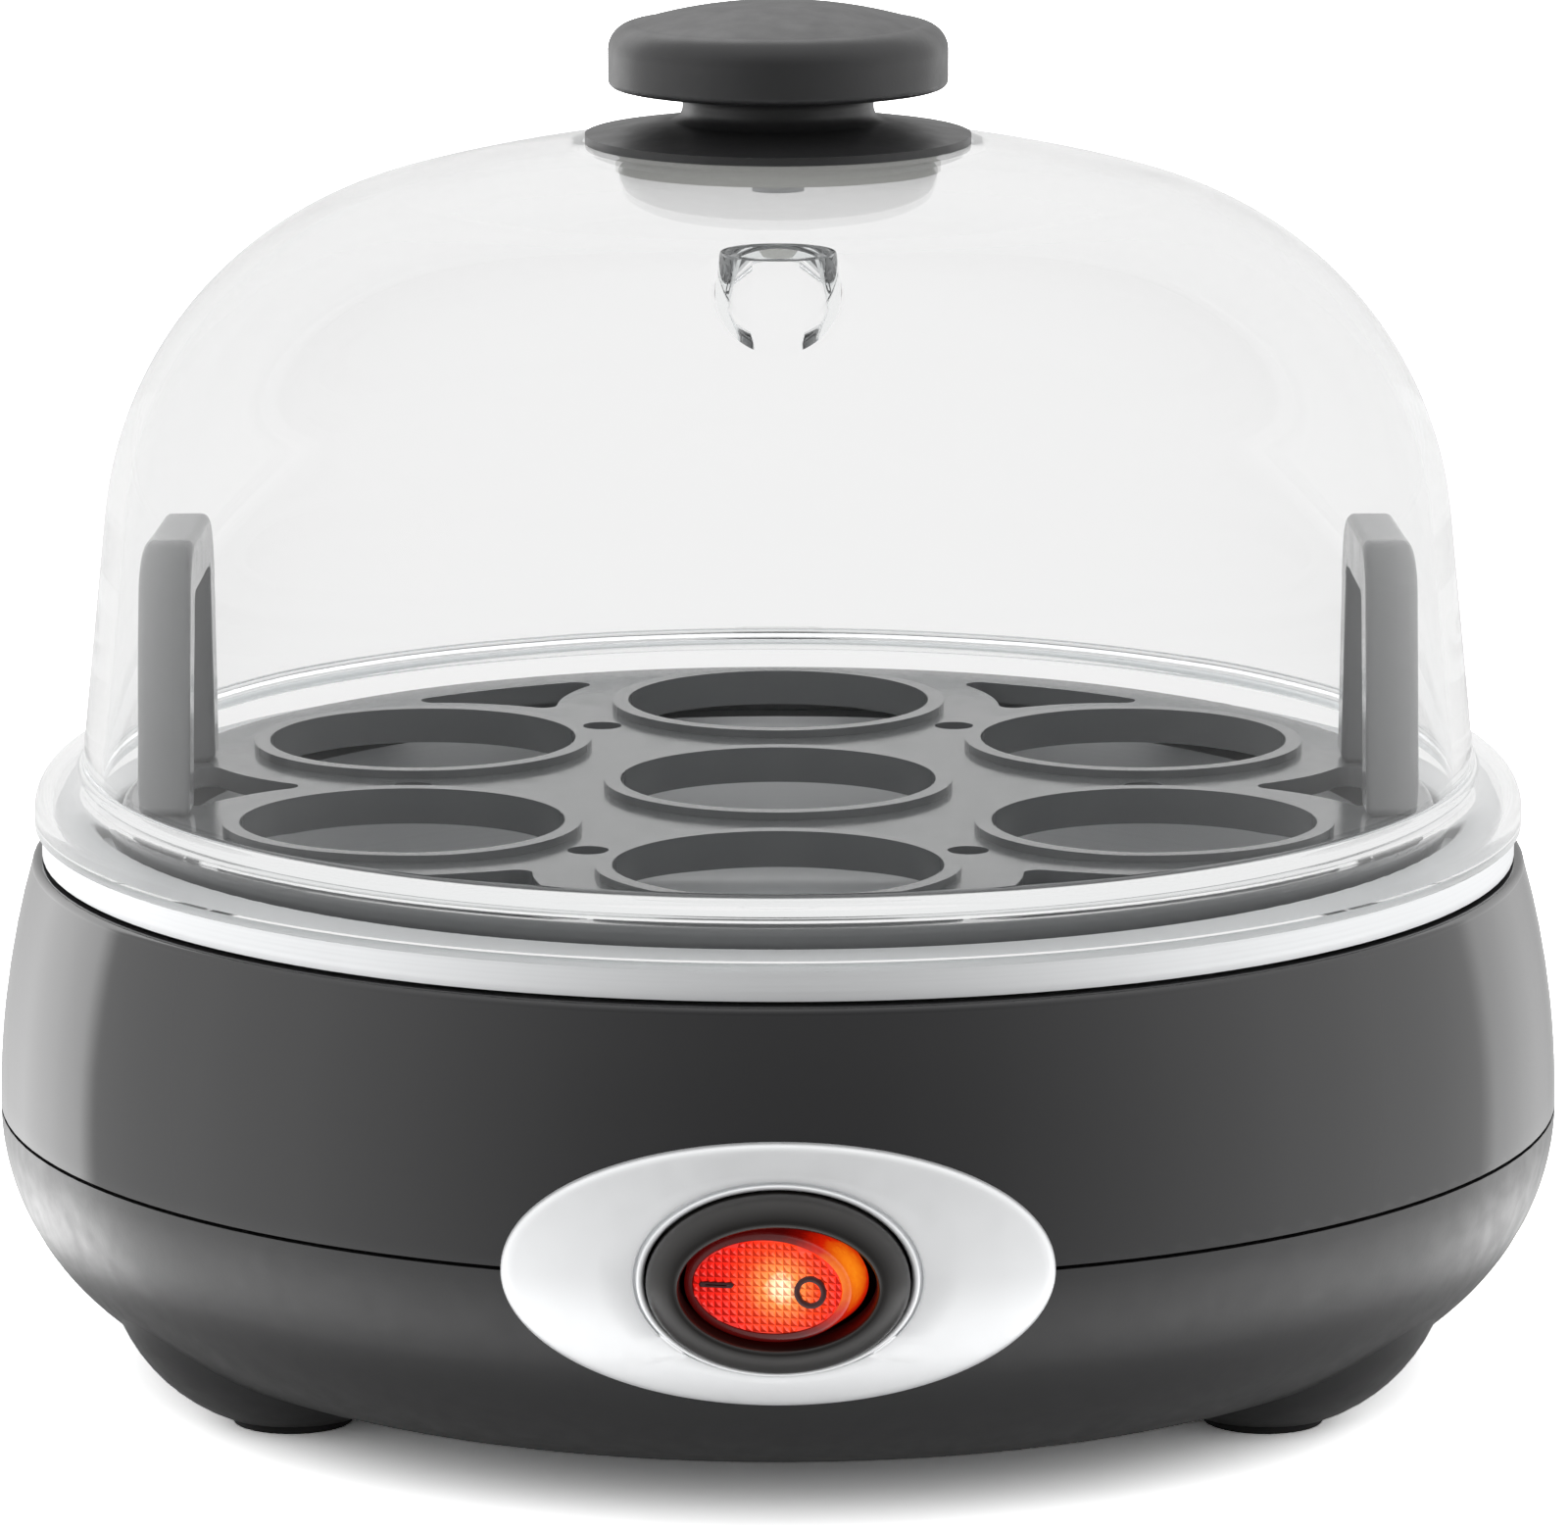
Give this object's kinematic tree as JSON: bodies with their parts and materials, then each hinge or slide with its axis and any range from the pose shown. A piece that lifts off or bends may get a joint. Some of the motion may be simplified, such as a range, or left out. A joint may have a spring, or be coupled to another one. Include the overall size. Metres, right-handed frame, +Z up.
{
  "type": "egg cooker",
  "caption": "Round electric egg cooker: domed clear lid with steam vent and knob, lift-out egg tray over a steel water dish, and a heated base with a lit rocker switch.",
  "frame": {"origin": "on the floor under the middle of the object's overall box, on the axis of the dome", "axes": "+Z up along the axis of the dome, -Y to the front where the switch is, +Y to the rear where the cord leaves, +X to the right seen from the front"},
  "size_m": [0.17, 0.1802, 0.1489],
  "materials": {
    "gloss_charcoal_plastic": "glossy moulded plastic",
    "satin_charcoal_plastic": "satin moulded plastic",
    "clear_plastic": "clear moulded plastic",
    "gloss_black_plastic": "glossy heat-proof plastic",
    "matte_black_plastic": "fine-grained plastic",
    "red_plastic": "translucent plastic, lit from behind",
    "white_plastic": "plain moulded plastic",
    "brown_phenolic": "moulded phenolic",
    "stainless_steel": "polished stainless sheet",
    "zinc_steel": "zinc-plated steel",
    "bright_chrome": "bright plating",
    "cast_aluminium": "as cast",
    "plain_brass": "plain",
    "soft_rubber": "moulded rubber",
    "white_silicone": "silicone sheet",
    "heater_ceramic": "unglazed",
    "glass_sleeving": "woven glass sleeving",
    "lamp_glass": "clear",
    "black_lead": "silicone insulation",
    "white_lead": "silicone insulation",
    "green_lead": "silicone insulation"
  },
  "bodies": {
    "base": {"upper_housing": "gloss_charcoal_plastic", "lower_housing": "satin_charcoal_plastic", "foot_pads": "soft_rubber", "housing_screws": "zinc_steel", "heating_pan": "stainless_steel", "pan_gasket": "white_silicone", "pan_studs": "stainless_steel", "stud_washers": "zinc_steel", "stud_nuts": "zinc_steel", "heater_plate": "cast_aluminium", "heating_tube": "cast_aluminium", "heater_beads": "heater_ceramic", "heater_pins": "stainless_steel", "thermostat": "brown_phenolic", "thermostat_blades": "plain_brass", "thermostat_spades": "plain_brass", "thermostat_bracket": "zinc_steel", "thermostat_screws": "zinc_steel", "fuse_sleeve": "glass_sleeving", "thermal_fuse": "zinc_steel", "fuse_clip": "zinc_steel", "fuse_clip_screw": "zinc_steel", "switch_bezel": "bright_chrome", "switch_frame": "matte_black_plastic", "switch_blades": "plain_brass", "pilot_lamp": "lamp_glass", "switch_spades": "plain_brass", "cord_gland": "soft_rubber", "cord_clamp": "white_plastic", "cord_clamp_screws": "zinc_steel", "terminal_block": "white_plastic", "terminal_block_screw": "zinc_steel", "lead_lamp": "white_lead", "lead_live": "black_lead", "lead_switched": "black_lead", "lead_heater": "black_lead", "lead_fuse": "white_lead", "lead_neutral": "white_lead", "lead_earth": "green_lead"},
    "tray": {"egg_tray": "gloss_black_plastic", "tray_handle_left": "gloss_black_plastic", "tray_handle_right": "gloss_black_plastic"},
    "lid": {"lid_dome": "clear_plastic", "lid_knob": "gloss_black_plastic", "knob_washer": "white_silicone", "knob_screw": "stainless_steel"},
    "switch_rocker": {"rocker": "red_plastic", "rocker_plunger": "plain_brass"},
    "switch_contact": {"contact_lever": "plain_brass"}
  },
  "joints": [
    {"name": "tray_lift", "type": "slide", "parent": "base", "child": "tray", "axis": [0, 0, 1], "range_m": [0, 0.03]},
    {"name": "lid_lift", "type": "slide", "parent": "tray", "child": "lid", "axis": [0, 0, 1], "range_m": [0, 0.045]},
    {"name": "rocker_press", "type": "hinge", "parent": "base", "child": "switch_rocker", "pos_m": [0, -0.083, 0.0294], "axis": [0, 0, 1], "range_deg": [0, 24]},
    {"name": "contact_rock", "type": "hinge", "parent": "base", "child": "switch_contact", "pos_m": [0, -0.0726, 0.0294], "axis": [0, 0, 1], "range_deg": [-12, 0]}
  ],
  "couplings": [
    {"joint": "contact_rock", "follows": "rocker_press", "ratio": -0.5}
  ]
}
